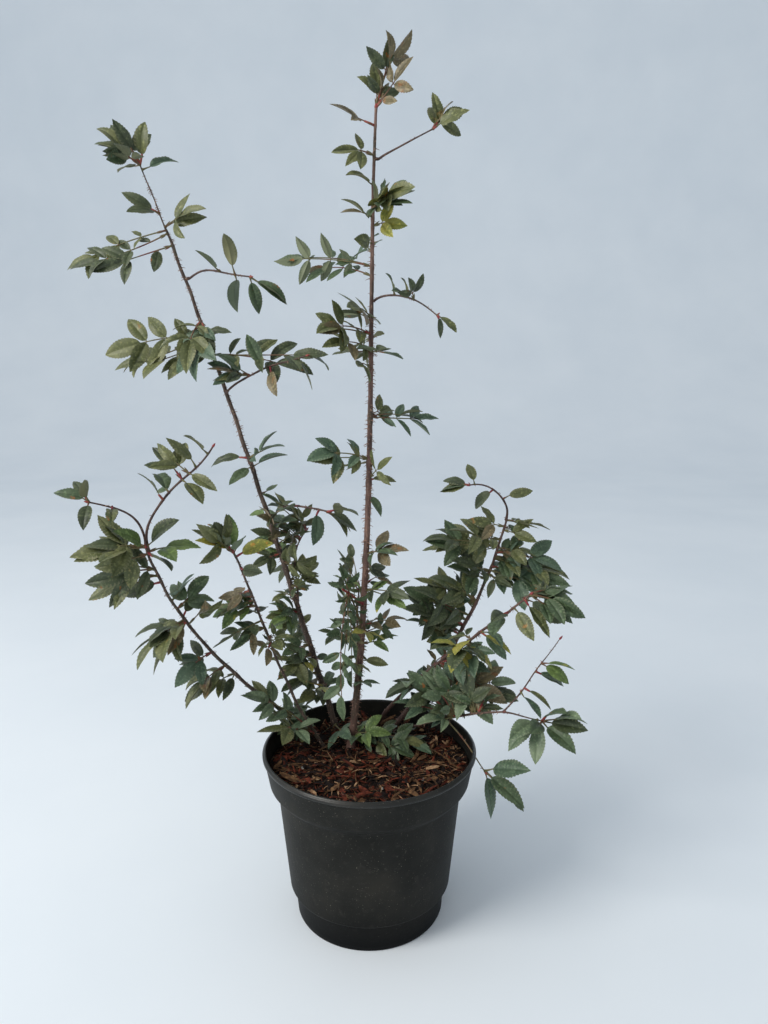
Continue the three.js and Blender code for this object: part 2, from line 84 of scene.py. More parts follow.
# what grows where a mass of leaves stands: mass, slant of its outline in degrees (0 rises to the
# right, 90 upright, 180 falls to the right), leaflet length, the tints its sprays share out, and
# the limbs that feed it as limb, first and last place along it, sprays
TUFTS = [
    ("crown_top", 60, 23, "BGO", [("cane_centre", 0.99, 1, 4)]),
    ("crown_upper_left", 115, 23, "BOO", [("cane_centre", 0.86, 0.96, 4)]),
    ("crown_right", 55, 26, "BOO", [("bough_crown_right", 0.4, 1, 4)]),
    ("upper_right", 75, 23, "GGOOY", [("cane_centre", 0.8, 0.83, 8)]),
    ("upper_left_arm", 95, 22, "GG", [("cane_centre", 0.74, 0.74, 3)]),
    ("right_arm", 145, 18, "GGGO", [("bough_right_long", 0.23, 1, 6)]),
    ("mid_left_tuft", 90, 23, "GOOOO", [("cane_centre", 0.58, 0.66, 8)]),
    ("mid_right_tuft", 135, 21, "GO", [("cane_centre", 0.53, 0.53, 3)]),
    ("mid_left_fan", 50, 22, "GO", [("cane_centre", 0.46, 0.47, 3)]),
    ("mid_right_small", 65, 22, "GO", [("cane_centre", 0.41, 0.41, 3)]),
    ("centre_right", 60, 21, "BGGMOY", [("cane_centre", 0.12, 0.32, 9)]),
    ("centre_left", 90, 18, "GGGGGGMOO", [("bough_centre_red", 0.81, 1, 4), ("cane_thin", 0.61, 1, 4), ("cane_centre", 0.11, 0.18, 4)]),
    ("left_tip", 130, 29, "GGGOO", [("cane_left", 0.94, 1, 8)]),
    ("left_upper_right", 100, 30, "GGO", [("cane_left", 0.9, 0.9, 4)]),
    ("left_upper_arm", 55, 26, "GO", [("cane_left", 0.85, 0.87, 3)]),
    ("left_long_arm", 130, 32, "GGGO", [("bough_left_long", 0.37, 1, 6)]),
    ("left_hang", 80, 30, "GOO", [("cane_left", 0.73, 0.75, 4)]),
    ("left_low_arm", 70, 30, "OOO", [("cane_left", 0.67, 0.68, 4)]),
    ("left_mid_arm", 80, 30, "BGGGGO", [("bough_left_mid", 0.32, 1, 8), ("cane_left", 0.67, 0.67, 2)]),
    ("left_mid_low", 55, 32, "GGG", [("cane_left", 0.47, 0.51, 4)]),
    ("left_red_fan", 125, 30, "GGGO", [("bough_left_red", 0.47, 1, 6)]),
    ("left_inner", 110, 23, "BGGGGGMOOOP", [("cane_left", 0.25, 0.36, 9), ("bough_left_shoot", 0.14, 1, 8)]),
    ("left_inner_low", 120, 23, "GGGMOY", [("cane_left", 0.14, 0.19, 9)]),
    ("low_centre", 90, 26, "GGGOPY", [("cane_left", 0.06, 0.12, 9)]),
    ("far_left_end", 80, 32, "GGMOO", [("cane_far_left", 0.96, 1, 8)]),
    ("far_left_top", 110, 23, "GGGO", [("bough_far_left", 0.54, 1, 6)]),
    ("left_arch", 80, 28, "GGGOOO", [("bough_left_arch", 0.46, 1, 9)]),
    ("far_left_low", 80, 29, "GGO", [("cane_far_left", 0.87, 0.9, 4)]),
    ("far_left_hang", 70, 29, "GGGO", [("cane_far_left", 0.69, 0.74, 6)]),
    ("left_fern", 115, 25, "GGO", [("cane_far_left", 0.49, 0.76, 4)]),
    ("low_left_hang", 90, 25, "GGGO", [("cane_far_left", 0.41, 0.58, 6)]),
    ("rim_left", 140, 24, "GOPPPP", [("cane_far_left", 0.16, 0.21, 6), ("cane_mid_left", 0.03, 0.07, 3)]),
    ("mid_left_crown", 125, 29, "GGGMOY", [("cane_mid_left", 0.92, 1, 9)]),
    ("mid_left_low", 105, 22, "BGGMO", [("cane_mid_left", 0.56, 0.83, 8)]),
    ("right_top", 95, 25, "GGOO", [("bough_right_top", 0.38, 1, 6)]),
    ("right_upper", 65, 28, "GGOOO", [("cane_right", 0.9, 1, 8)]),
    ("right_mid", 110, 30, "GGGGGO", [("cane_right", 0.74, 0.87, 9)]),
    ("right_inner", 100, 30, "GGGGGOO", [("cane_right", 0.49, 0.64, 10)]),
    ("right_outer", 75, 31, "GGGGGOO", [("cane_right_low", 0.73, 1, 10)]),
    ("right_low", 80, 30, "GGGYY", [("cane_right_low", 0.58, 0.68, 8)]),
    ("right_bottom", 85, 26, "BGGGGGGGGPPP", [("cane_low_right", 0.62, 0.97, 9), ("cane_right_low", 0.31, 0.43, 6), ("cane_right", 0.17, 0.32, 3)]),
    ("low_right_twig", 65, 25, "GGMO", [("bough_low_right", 0.25, 0.66, 6)]),
    ("low_right_sprig", 65, 32, "GGPPP", [("bough_low_sprig", 0.9, 1, 8)]),
    ("low_right_hang", 105, 39, "GGG", [("bough_hanging_twig", 1, 1, 4)]),
    ("soil_sprigs", 115, 20, "GGGGGGM", [("cane_left", 0.01, 0.03, 3), ("cane_centre", 0.01, 0.01, 3), ("cane_right", 0.01, 0.04, 4)]),
]


# ---------------------------------------------------------------- small tools
def unit(v):
    v = np.asarray(v, float)
    return v / max(np.linalg.norm(v), 1e-9)


def square(v, t):
    """v made square to t"""
    v = v - t * np.dot(v, t)
    return unit(v) if np.linalg.norm(v) > 1e-6 else unit(np.cross(t, (0.31, 0.9, 0.17)))


def turn(v, axis, angle):
    c, s = math.cos(angle), math.sin(angle)
    return v * c + np.cross(axis, v) * s + axis * np.dot(axis, v) * (1 - c)


def along(l, s):
    s = np.asarray(s, float)[..., None]
    return np.array(l[1]) + np.array(l[2]) * s + np.array(l[3]) * 4 * s * (1 - s) + np.array(l[4]) * s * (1 - s) * (1 - 2 * s)


class Pile:
    """Collects closed bodies into one mesh."""

    def __init__(self):
        self.v, self.q, self.t, self.qm, self.tm, self.edge, self.n = [], [], [], [], [], [], 0

    def add(self, v, quads=(), tris=(), qm=0, tm=0, edge=None):
        quads, tris = np.asarray(quads, int).reshape(-1, 4), np.asarray(tris, int).reshape(-1, 3)
        self.q.append(quads + self.n)
        self.t.append(tris + self.n)
        self.qm.append(np.broadcast_to(qm, len(quads)))
        self.tm.append(np.broadcast_to(tm, len(tris)))
        self.v.append(np.asarray(v, float))
        self.edge.append(np.zeros(len(v), bool) if edge is None else edge)
        self.n += len(v)

    def triangles(self):
        return sum(len(a) * 2 for a in self.q) + sum(len(a) for a in self.t)

    def build(self, name, materials, slot, nodes=(), smooth=True):
        v = np.concatenate(self.v) * MM
        q, t = np.concatenate(self.q), np.concatenate(self.t)
        mesh = bpy.data.meshes.new(name)
        mesh.vertices.add(len(v))
        mesh.vertices.foreach_set("co", v.astype(np.float32).ravel())
        loops = np.concatenate([q.ravel(), t.ravel()]).astype(np.int32)
        mesh.loops.add(len(loops))
        mesh.loops.foreach_set("vertex_index", loops)
        mesh.polygons.add(len(q) + len(t))
        starts = np.concatenate([np.arange(len(q)) * 4, len(q) * 4 + np.arange(len(t)) * 3]).astype(np.int32)
        mesh.polygons.foreach_set("loop_start", starts)
        mesh.polygons.foreach_set("material_index", np.concatenate(self.qm + self.tm).astype(np.int32))
        mesh.polygons.foreach_set("use_smooth", np.full(len(q) + len(t), smooth))
        mesh.update(calc_edges=True)
        mesh.validate()
        edge = np.concatenate(self.edge)
        if edge.any():
            pairs = np.empty(len(mesh.edges) * 2, np.int32)
            mesh.edges.foreach_get("vertices", pairs)
            pairs = pairs.reshape(-1, 2)
            sharp = mesh.attributes.new("sharp_edge", "BOOLEAN", "EDGE")
            sharp.data.foreach_set("value", edge[pairs[:, 0]] & edge[pairs[:, 1]])
        for m in materials:
            mesh.materials.append(m)
        obj = bpy.data.objects.new(name, mesh)
        bpy.context.scene.collection.objects.link(obj)
        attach(obj, "root")
        if nodes:
            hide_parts(*nodes)
        print(name, self.triangles(), "triangles")
        return obj


def frames(p):
    """tangent and two square directions at each point of a path"""
    t = np.gradient(p, axis=0)
    t /= np.maximum(np.linalg.norm(t, axis=1), 1e-9)[:, None]
    u = np.empty_like(p)
    u[0] = square(np.array([0.31, 1.0, 0.17]), t[0])
    for i in range(1, len(p)):
        u[i] = square(u[i - 1], t[i])
    return t, u, np.cross(t, u)


def tube(pile, p, r, sides, wobble=None, mat=0):
    """closed round body along the path p with the radii r"""
    p = np.asarray(p, float)
    t, u, w = frames(p)
    a = np.linspace(0, 2 * math.pi, sides, endpoint=False)
    rr = np.asarray(r, float)[:, None] * (np.ones((len(p), sides)) if wobble is None else wobble)
    rings = p[:, None] + (u[:, None] * np.cos(a)[None, :, None] + w[:, None] * np.sin(a)[None, :, None]) * rr[..., None]
    v = np.concatenate([rings.reshape(-1, 3), p[:1] - t[:1] * r[0] * 0.2, p[-1:] + t[-1:] * r[-1] * 0.8])
    i, j = np.meshgrid(np.arange(len(p) - 1), np.arange(sides), indexing="ij")
    k = (j + 1) % sides
    quads = np.stack([i * sides + j, i * sides + k, (i + 1) * sides + k, (i + 1) * sides + j], -1).reshape(-1, 4)
    j = np.arange(sides)
    k = (j + 1) % sides
    n = len(p) * sides
    m = (len(p) - 1) * sides
    tris = np.concatenate([np.stack([k, j, np.full(sides, n)], 1), np.stack([m + j, m + k, np.full(sides, n + 1)], 1)])
    pile.add(v, quads, tris, mat, mat)


def blob(pile, c, d, length, radius, sides=8):
    """small pointed bud"""
    s = np.array([0, 0.12, 0.3, 0.5, 0.7, 0.88, 0.97])
    tube(pile, np.asarray(c) + np.outer(s * length, d), radius * np.array([0.55, 0.9, 1.0, 0.92, 0.7, 0.4, 0.16]), sides)


def prickle(pile, c, d, down, length, radius, sides=5):
    """slender prickle with a wide foot and a slightly hooked tip"""
    s = np.array([-0.12, 0.1, 0.45, 0.8])
    p = np.asarray(c) + np.outer(s * length, d) + np.outer(np.maximum(s, 0) ** 2 * length * 0.35, down)
    tube(pile, p, radius * np.array([1.7, 1.0, 0.6, 0.3]), sides)


# ---------------------------------------------------------------- materials
def srgb(r, g, b):
    f = lambda c: c / 12.92 if c <= 0.04045 else ((c + 0.055) / 1.055) ** 2.4
    return (f(r / 255), f(g / 255), f(b / 255), 1)


def material(name, colours, scale, rough, specular=0.4, spots=None, fine=None, bump=0.0, bump_scale=900, detail=4, stretch=None, low=None):
    """colours: list of (place, colour) along a noise; spots: (colour, scale, from, to); fine: (colour, scale, from, to)"""
    m = bpy.data.materials.new(name)
    m.use_nodes = True
    nt = m.node_tree
    bsdf = nt.nodes["Principled BSDF"]
    bsdf.inputs["Roughness"].default_value = rough
    bsdf.inputs["Specular IOR Level"].default_value = specular
    where = nt.nodes.new("ShaderNodeTexCoord").outputs["Object"]
    if stretch:
        mapping = nt.nodes.new("ShaderNodeMapping")
        mapping.inputs["Scale"].default_value = stretch
        nt.links.new(where, mapping.inputs["Vector"])
        where = mapping.outputs["Vector"]

    def noise(sc, det):
        n = nt.nodes.new("ShaderNodeTexNoise")
        n.inputs["Scale"].default_value = sc
        n.inputs["Detail"].default_value = det
        nt.links.new(where, n.inputs["Vector"])
        return n.outputs["Fac"]

    ramp = nt.nodes.new("ShaderNodeValToRGB")
    while len(ramp.color_ramp.elements) < len(colours):
        ramp.color_ramp.elements.new(0.5)
    for e, (place, colour) in zip(ramp.color_ramp.elements, colours):
        e.position = place
        e.color = colour
    nt.links.new(noise(scale, detail), ramp.inputs["Fac"])
    colour = ramp.outputs["Color"]
    for extra in (spots, fine):
        if not extra:
            continue
        tone, sc, a, b = extra
        mask = nt.nodes.new("ShaderNodeMapRange")
        mask.inputs["From Min"].default_value = a
        mask.inputs["From Max"].default_value = b
        nt.links.new(noise(sc, 3), mask.inputs["Value"])
        mix = nt.nodes.new("ShaderNodeMix")
        mix.data_type = "RGBA"
        nt.links.new(mask.outputs["Result"], mix.inputs["Factor"])
        nt.links.new(colour, mix.inputs["A"])
        mix.inputs["B"].default_value = tone
        colour = mix.outputs["Result"]
    if low:
        # painted shade, darker towards the foot: (colour, height where it is full, height where it is gone)
        tone, z0, z1 = low
        split = nt.nodes.new("ShaderNodeSeparateXYZ")
        nt.links.new(where, split.inputs["Vector"])
        mask = nt.nodes.new("ShaderNodeMapRange")
        mask.inputs["From Min"].default_value = z1
        mask.inputs["From Max"].default_value = z0
        nt.links.new(split.outputs["Z"], mask.inputs["Value"])
        mix = nt.nodes.new("ShaderNodeMix")
        mix.data_type = "RGBA"
        nt.links.new(mask.outputs["Result"], mix.inputs["Factor"])
        nt.links.new(colour, mix.inputs["A"])
        mix.inputs["B"].default_value = tone
        colour = mix.outputs["Result"]
    nt.links.new(colour, bsdf.inputs["Base Color"])
    if bump:
        b = nt.nodes.new("ShaderNodeBump")
        b.inputs["Strength"].default_value = bump
        b.inputs["Distance"].default_value = 0.0006
        nt.links.new(noise(bump_scale, 4), b.inputs["Height"])
        nt.links.new(b.outputs["Normal"], bsdf.inputs["Normal"])
    return m


def tones(*rows):
    n = len(rows)
    return [(0.3 + 0.4 * i / max(n - 1, 1), srgb(*c)) for i, c in enumerate(rows)]


def leaf_materials(name, upper, under, spots=None):
    return [
        material(name + "_upper", tones(*upper), 55, 0.46, 0.42, spots=spots, fine=(srgb(*[c * 1.22 for c in upper[-1]]), 420, 0.52, 0.72), bump=0.35, bump_scale=700),
        material(name + "_under", tones(*under), 60, 0.62, 0.3, spots=spots, bump=0.3, bump_scale=900),
    ]


RUST = srgb(150, 92, 44)
TINTS = {
    "G1": ("leaves_green", leaf_materials("green", [(56, 72, 50), (70, 86, 58), (84, 100, 70)], [(98, 106, 80), (116, 122, 96)], (RUST, 95, 0.69, 0.74))),
    "G2": ("leaves_blue_green", leaf_materials("blue_green", [(58, 78, 60), (72, 92, 70), (88, 106, 82)], [(102, 114, 92), (120, 130, 106)], None)),
    "G3": ("leaves_dark_green", leaf_materials("dark_green", [(52, 60, 42), (66, 76, 50), (82, 90, 62)], [(92, 96, 70), (110, 112, 86)], (RUST, 110, 0.68, 0.73))),
    "O": ("leaves_olive", leaf_materials("olive", [(70, 78, 44), (88, 94, 56), (110, 112, 72)], [(108, 110, 78), (132, 130, 98)], (srgb(158, 108, 52), 105, 0.67, 0.75))),
    "B": ("leaves_bronze", leaf_materials("bronze", [(86, 78, 54), (106, 96, 68), (126, 114, 84)], [(122, 110, 88), (142, 130, 106)], (srgb(140, 96, 58), 110, 0.6, 0.7))),
    "M": ("leaves_mid_green", leaf_materials("mid_green", [(70, 92, 46), (86, 106, 56), (104, 122, 68)], [(116, 132, 82), (130, 144, 94)], (srgb(172, 160, 60), 90, 0.66, 0.74))),
    "Y": ("leaves_yellow", leaf_materials("yellow", [(104, 116, 52), (136, 136, 60), (160, 152, 72)], [(134, 136, 76), (158, 152, 92)], (srgb(190, 134, 52), 120, 0.6, 0.7))),
    "R": ("leaves_orange", leaf_materials("orange", [(156, 96, 56), (190, 138, 78), (206, 164, 96)], [(176, 128, 82), (200, 156, 104)], (srgb(112, 74, 44), 130, 0.6, 0.68))),
    "P": ("leaves_pale", leaf_materials("pale", [(84, 102, 76), (100, 116, 88), (114, 128, 98)], [(118, 128, 104), (132, 142, 116)], None)),
    "D": ("leaves_withered", leaf_materials("withered", [(118, 88, 66), (140, 112, 80), (158, 132, 98)], [(140, 112, 84), (160, 134, 104)], (srgb(98, 66, 48), 140, 0.58, 0.66))),
}
bark = material("cane_bark", tones((60, 43, 39), (92, 69, 61), (124, 97, 86)), 130, 0.62, 0.35, spots=(srgb(68, 62, 48), 60, 0.56, 0.7), fine=(srgb(138, 110, 94), 620, 0.6, 0.72), bump=0.6, bump_scale=520, stretch=(1, 1, 0.35))
bark_grey = material("cane_bark_grey", tones((52, 42, 38), (76, 62, 54), (102, 86, 76)), 120, 0.62, 0.35, spots=(srgb(62, 64, 48), 60, 0.56, 0.7), fine=(srgb(140, 120, 102), 640, 0.6, 0.72), bump=0.6, bump_scale=520, stretch=(1, 1, 0.35))
bough_mat = material("bough_bark", tones((52, 38, 36), (74, 54, 48), (100, 76, 66)), 150, 0.58, 0.38, fine=(srgb(132, 100, 78), 700, 0.6, 0.74), bump=0.45, bump_scale=600)
red_mat = material("red_shoot", tones((108, 34, 42), (138, 50, 52), (150, 80, 62)), 120, 0.5, 0.42, fine=(srgb(170, 104, 84), 700, 0.6, 0.74), bump=0.3)
stalk_mat = material("leaf_stalk", tones((84, 84, 52), (104, 100, 64), (116, 104, 74)), 110, 0.56, 0.36, spots=(srgb(112, 62, 50), 45, 0.52, 0.66), bump=0.25)
stalk_red = material("leaf_stalk_red", tones((82, 54, 44), (106, 74, 58), (122, 94, 72)), 110, 0.56, 0.36, spots=(srgb(102, 92, 58), 45, 0.52, 0.66), bump=0.25)
prickle_mat = material("prickle", tones((92, 64, 56), (134, 100, 84), (172, 140, 116)), 300, 0.5, 0.4, bump=0.2)

# ---------------------------------------------------------------- canes and boughs
PARENT = {
    "bough_far_left": "cane_far_left", "bough_left_arch": "cane_far_left", "bough_left_red": "cane_left",
    "bough_left_shoot": "cane_left", "bough_centre_red": "cane_centre", "bough_right_top": "cane_right",
    "bough_low_right": "cane_low_right", "bough_low_sprig": "cane_low_right", "bough_crown_right": "cane_centre",
    "bough_right_long": "cane_centre", "bough_left_long": "cane_left", "bough_left_mid": "cane_left",
    "bough_hanging_twig": "cane_low_right",
}
BY_NAME = {l[0]: l for l in LIMBS}


def branch(mass, slant, length, tints, feeders, dice):
    """sprays that leave the limbs and end inside the outline of the mass they stand for"""
    low, high = (np.array(c, float) * 1000.0 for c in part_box("leaves_" + mass))
    middle, half = (low + high) / 2, (high - low) / 2
    deal = [tints[int(k)] for k in dice.permutation(len(tints))]
    rows = []
    for limb, t0, t1, number in feeders:
        l = BY_NAME[limb]
        places = np.linspace(max(t0 - 0.012, 0.0), min(t1 + 0.012, 1.0), 9)
        feet = np.array([along(l, t) for t in places])
        ends = []
        for a in np.linspace(0, 2 * math.pi, 36, endpoint=False) + dice.uniform(0, 0.17):
            out = dice.uniform(0.8, 1.0)
            end = middle + half * np.array([out * math.cos(a), dice.uniform(-0.8, 0.8), out * math.cos(a - math.radians(slant))])
            gap = np.linalg.norm(feet - end, axis=1)
            ends.append((end, int(gap.argmin()), float(gap.min())))
        # leave out the side the limb comes in from, then share the rest evenly
        reachable = [e for e in ends if e[2] > 0.5 * max(x[2] for x in ends)]
        for k in range(number):
            # the first one grows right out to the far edge
            end, foot, far = max(ends, key=lambda e: e[2]) if k == 0 else reachable[int((k + dice.uniform(0.25, 0.75)) * len(reachable) / number) % len(reachable)]
            reach = end - feet[foot]
            if far < length * 1.15:
                reach = unit(reach) * length * 1.15
                far = length * 1.15
            ratio = far / length
            n = 1 if ratio < 1.3 else 3 if ratio < 1.9 else 5 if ratio < 3.0 else 7
            bow = (dice.normal(0, 0.04) * far, dice.uniform(-0.02, 0.11) * far)
            rows.append((mass, limb, float(places[foot]), tuple(reach), bow, n, length * dice.uniform(0.88, 1.14), deal[len(rows) % len(deal)]))
    return rows


SPRAYS = [row for k, tuft in enumerate(TUFTS) for row in branch(*tuft, np.random.default_rng([1907, k]))]
PILES = {k: Pile() for k in ("canes", "canes_grey", "boughs", "red_boughs", "prickles", "stalks", "stalks_red", "stipules", "buds")}
CROWDED = {"cane_centre": 2.3, "cane_left": 1.3, "cane_thin": 1.0, "cane_right": 0.8}
RED = {"bough_centre_red"}
PALE = {"bough_hanging_twig"}
GREY = {"cane_left", "cane_far_left", "cane_mid_left", "cane_thin"}


# radius at foot and tip of each limb, millimetres
THIN = {
    "cane_centre": (3.3, 1.05), "cane_left": (2.75, 1.1), "cane_far_left": (1.95, 0.95), "cane_mid_left": (1.5, 0.85),
    "cane_right": (2.65, 0.95), "cane_right_low": (2.1, 0.85), "cane_low_right": (1.45, 0.8), "cane_thin": (1.2, 0.7),
    "bough_low_right": (0.75, 0.32), "bough_low_sprig": (0.75, 0.45), "bough_crown_right": (0.85, 0.5), "bough_right_long": (0.9, 0.5),
    "bough_left_long": (0.95, 0.6), "bough_left_mid": (1.0, 0.65), "bough_far_left": (1.0, 0.55), "bough_left_arch": (1.1, 0.7),
    "bough_left_red": (1.1, 0.8), "bough_left_shoot": (0.95, 0.6), "bough_right_top": (1.05, 0.6), "bough_hanging_twig": (0.7, 0.5),
}


def radius(l, s):
    a, b = THIN.get(l[0], (l[5], l[6]))
    r = a + (b - a) * s
    if l[0] == "cane_left":
        # above the topmost arm the cane thins to a leaf stalk
        x = np.clip((s - 0.845) / 0.06, 0, 1)
        r = r * (1 - 0.52 * x * x * (3 - 2 * x))
    return r


def set_limb(l):
    name = l[0]
    cane = name.startswith("cane")
    length = float(np.linalg.norm(np.diff(along(l, np.linspace(0, 1, 60)), axis=0), axis=1).sum())
    n = max(12, int(length / 1.8))
    s = np.linspace(-6 / length if cane else 0, 1, n)
    p = along(l, s)
    r = radius(l, np.clip(s, 0, 1))
    d = np.maximum(s, 0) * length
    if cane:
        r = r * (1 + 0.42 * np.exp(-d / 7))
    else:
        parent = BY_NAME[PARENT[name]]
        q = along(parent, np.linspace(0, 1, 800))
        k = int(np.argmin(np.linalg.norm(q - p[0], axis=1)))
        gap = np.linalg.norm(q[k] - p[0])
        m = max(2, int(gap / 1.2) + 1)
        lead = q[k] + (p[0] - q[k]) * np.linspace(0, 1, m, endpoint=False)[:, None]
        p = np.concatenate([lead, p])
        r = np.concatenate([np.full(m, r[0]), r])
        d = np.concatenate([np.zeros(m), d + gap])
        r = r * (1 + 0.5 * np.exp(-d / 3.5))
    # swollen joints where leaves leave the limb
    joints = [row[2] for row in SPRAYS if row[1] == name]
    ss = np.linspace(0, 1, len(p))
    swell = np.zeros(len(p))
    for t in joints:
        swell = np.maximum(swell, 0.2 * np.exp(-(((ss - t) * length / 2.2) ** 2)))
    r = r * (1 + swell)
    sides = 16 if cane else 12
    a = np.linspace(0, 2 * math.pi, sides, endpoint=False)
    ph = rng.uniform(0, 6.28, 6)
    z = np.arange(len(p))[:, None]
    wob = 1 + 0.035 * np.sin(a[None] * 3 + z * 0.11 + ph[0]) + 0.03 * np.sin(a[None] * 5 - z * 0.07 + ph[1]) + 0.035 * np.sin(z * 0.55 + ph[2]) + rng.normal(0, 0.02, (len(p), sides))
    # small sideways kinks between joints
    t, u, w = frames(p)
    if not cane or name != "cane_centre":
        k = 0.35 * np.minimum(d / 12, 1)
        p = p + u * (k * np.sin(d / 9 + ph[3]))[:, None] + w * (k * np.sin(d / 7 + ph[4]))[:, None]
    pile = PILES["red_boughs" if name in RED else "stalks" if name in PALE else "boughs" if not cane else "canes_grey" if name in GREY else "canes"]
    tube(pile, p, r, sides, wob)
    # prickles, thickest on the old canes
    per = CROWDED.get(name, 0.5 if cane else 0.28)
    for _ in range(int(length * per)):
        f = rng.uniform(0.01, 0.985)
        if name == "cane_centre":
            # crowded low down, few above the upper arms
            if rng.uniform() > (1.0 if f < 0.66 else 0.3 if f < 0.8 else 0.07):
                continue
        i = int(f * (len(p) - 1))
        ang = rng.uniform(0, 2 * math.pi)
        out = u[i] * math.cos(ang) + w[i] * math.sin(ang)
        big = rng.uniform(0, 1) ** 1.4
        ln = (1.4 + 2.9 * big) * (1.0 if cane else 0.6) * (1.1 if name == "cane_centre" else 0.9)
        prickle(PILES["prickles"], p[i] + out * r[i] * 0.92, unit(out + t[i] * rng.normal(0, 0.22)), -t[i], ln, 0.24 + 0.16 * big)
    if name == "bough_left_red":
        m = int(12 / length * len(p)) + 2
        tube(PILES["buds"], p[:m], r[:m] * np.linspace(1.15, 1.0, m), 10)
    if not cane or l[6] < 1.5:
        tip = PILES["buds"]
        blob(tip, p[-1] - t[-1] * 0.5, t[-1], 4.2, l[6] * 1.15)


for limb in LIMBS:
    set_limb(limb)

# ---------------------------------------------------------------- leaflets
COLS = np.array([-1, -0.55, -0.09, 0, 0.09, 0.55, 1.0])
_index = {}


def faces_for(nu):
    if nu in _index:
        return _index[nu]
    c, m = 7, nu - 1
    top = lambda i, j: 2 + (i - 1) * c + j
    low = lambda i, j: top(i, j) if j in (0, 6) else 2 + m * c + (i - 1) * 5 + (j - 1)
    quads, tris, qm, tm = [], [], [], []
    for i in range(1, nu - 1):
        for j in range(6):
            quads.append([top(i, j), top(i + 1, j), top(i + 1, j + 1), top(i, j + 1)])
            qm.append(0)
            quads.append([low(i, j + 1), low(i + 1, j + 1), low(i + 1, j), low(i, j)])
            qm.append(1)
    for j in range(6):
        tris.append([0, top(1, j), top(1, j + 1)])
        tm.append(0)
        tris.append([0, low(1, j + 1), low(1, j)])
        tm.append(1)
        tris.append([top(m, j), 1, top(m, j + 1)])
        tm.append(0)
        tris.append([low(m, j + 1), 1, low(m, j)])
        tm.append(1)
    edge = np.zeros(2 + m * 12, bool)
    edge[:2] = True
    for i in range(1, nu):
        edge[[top(i, 0), top(i, 6)]] = True
    _index[nu] = (np.array(quads), np.array(tris), np.array(qm), np.array(tm), edge)
    return _index[nu]


def leaflet(pile, base, d, n, length, width, fold, curl, twist=0.0, wave=0.0, phase=0.0, blunt=0.8, smooth=False, aim=False):
    """thin closed blade with a toothed outline, folded along its midrib and curling over at the tip"""
    teeth = 11 if length > 29 else 9 if length > 19 else 7
    nu = 2 * teeth + 2
    u = np.arange(nu + 1) / nu
    d = unit(d)
    n = square(n, d)
    side = np.cross(n, d)
    a, b = 0.58, blunt
    g = u**a * (1 - u) ** b
    g = g / ((a / (a + b)) ** a * (b / (a + b)) ** b)
    i = np.arange(nu + 1)
    window = np.clip((u - 0.06) / 0.1, 0, 1) * np.clip((0.99 - u) / 0.06, 0, 1)
    tooth = np.where(i % 2 == 1, 0.055, -0.035) * window * (0 if smooth else 1)
    theta = curl * u**1.25
    cx = np.concatenate([[0], np.cumsum((np.cos(theta[1:]) + np.cos(theta[:-1])) / 2)]) / nu * length
    cz = -np.concatenate([[0], np.cumsum((np.sin(theta[1:]) + np.sin(theta[:-1])) / 2)]) / nu * length
    if aim:
        # turn the curled blade so that its tip still lands where it was meant to
        k = length / math.hypot(cx[-1], cz[-1])
        cx, cz = cx * k, cz * k
        phi = -math.atan2(cz[-1], cx[-1])
        d, n = d * math.cos(phi) + n * math.sin(phi), n * math.cos(phi) - d * math.sin(phi)
    v = COLS[None]
    half = g[:, None] * width / 2
    wide = half * v * (1 + np.where(np.abs(v) == 1, tooth[:, None], 0))
    off = np.abs(wide)
    y = np.sign(wide) * off * math.cos(fold)
    z = off * math.sin(fold) * (1 - 0.3 * np.abs(v)) - 0.10 * off * v * v
    z = z + np.where((np.abs(v) > 0.4) & (np.abs(v) < 0.7), np.where(i % 2 == 1, 0.0085, -0.0085)[:, None] * length * g[:, None], 0)
    z = z + wave * length * np.sin(2 * math.pi * 2.3 * u + phase)[:, None] * np.abs(v) ** 2 * np.sign(v) * g[:, None]
    z = z - np.where(v == 0, 0.011 * length * g[:, None] ** 0.5, 0)
    tw = (twist * u)[:, None]
    y, z = y * np.cos(tw) - z * np.sin(tw), y * np.sin(tw) + z * np.cos(tw)
    fwd = np.where(np.abs(v) == 1, (0.5 / nu) * length * np.where(i % 2 == 1, 1, 0)[:, None] * window[:, None], 0) + 0.16 * off * (1 if not smooth else 0.3)
    fwd = fwd * (1 - u[:, None] ** 6)
    ct, st = np.cos(theta)[:, None], np.sin(theta)[:, None]

    def place(y, z, fwd):
        x = cx[:, None] + fwd * ct + z * st
        h = cz[:, None] - fwd * st + z * ct
        return base + x[..., None] * d + y[..., None] * side + h[..., None] * n

    thick = (0.10 + 0.0035 * length) * np.sqrt(np.clip(g, 0, 1))[:, None] * np.ones_like(v)
    thick = thick * np.where(v == 0, 2.2, 1)
    top = place(y, z, fwd)
    under = place(y, z - thick, fwd)
    verts = np.concatenate([top[0, 3:4], top[-1, 3:4], top[1:-1].reshape(-1, 3), under[1:-1, 1:6].reshape(-1, 3)])
    quads, tris, qm, tm, edge = faces_for(nu)
    pile.add(verts, quads, tris, qm, tm, edge)


LEAVES = {k: Pile() for k in TINTS}
UP = np.array([0.0, 0, 1])
LOOK = np.array([13.0, -636, 493])
count = 0
lengths = []


def colour_of(tint, x=100.0):
    """plain green is dealt out in three shades, more olive left of the middle"""
    if tint != "G":
        return tint
    return rng.choice(["G1", "G2", "G3"], p=[0.36, 0.32, 0.32] if x > 20 else [0.34, 0.14, 0.52])


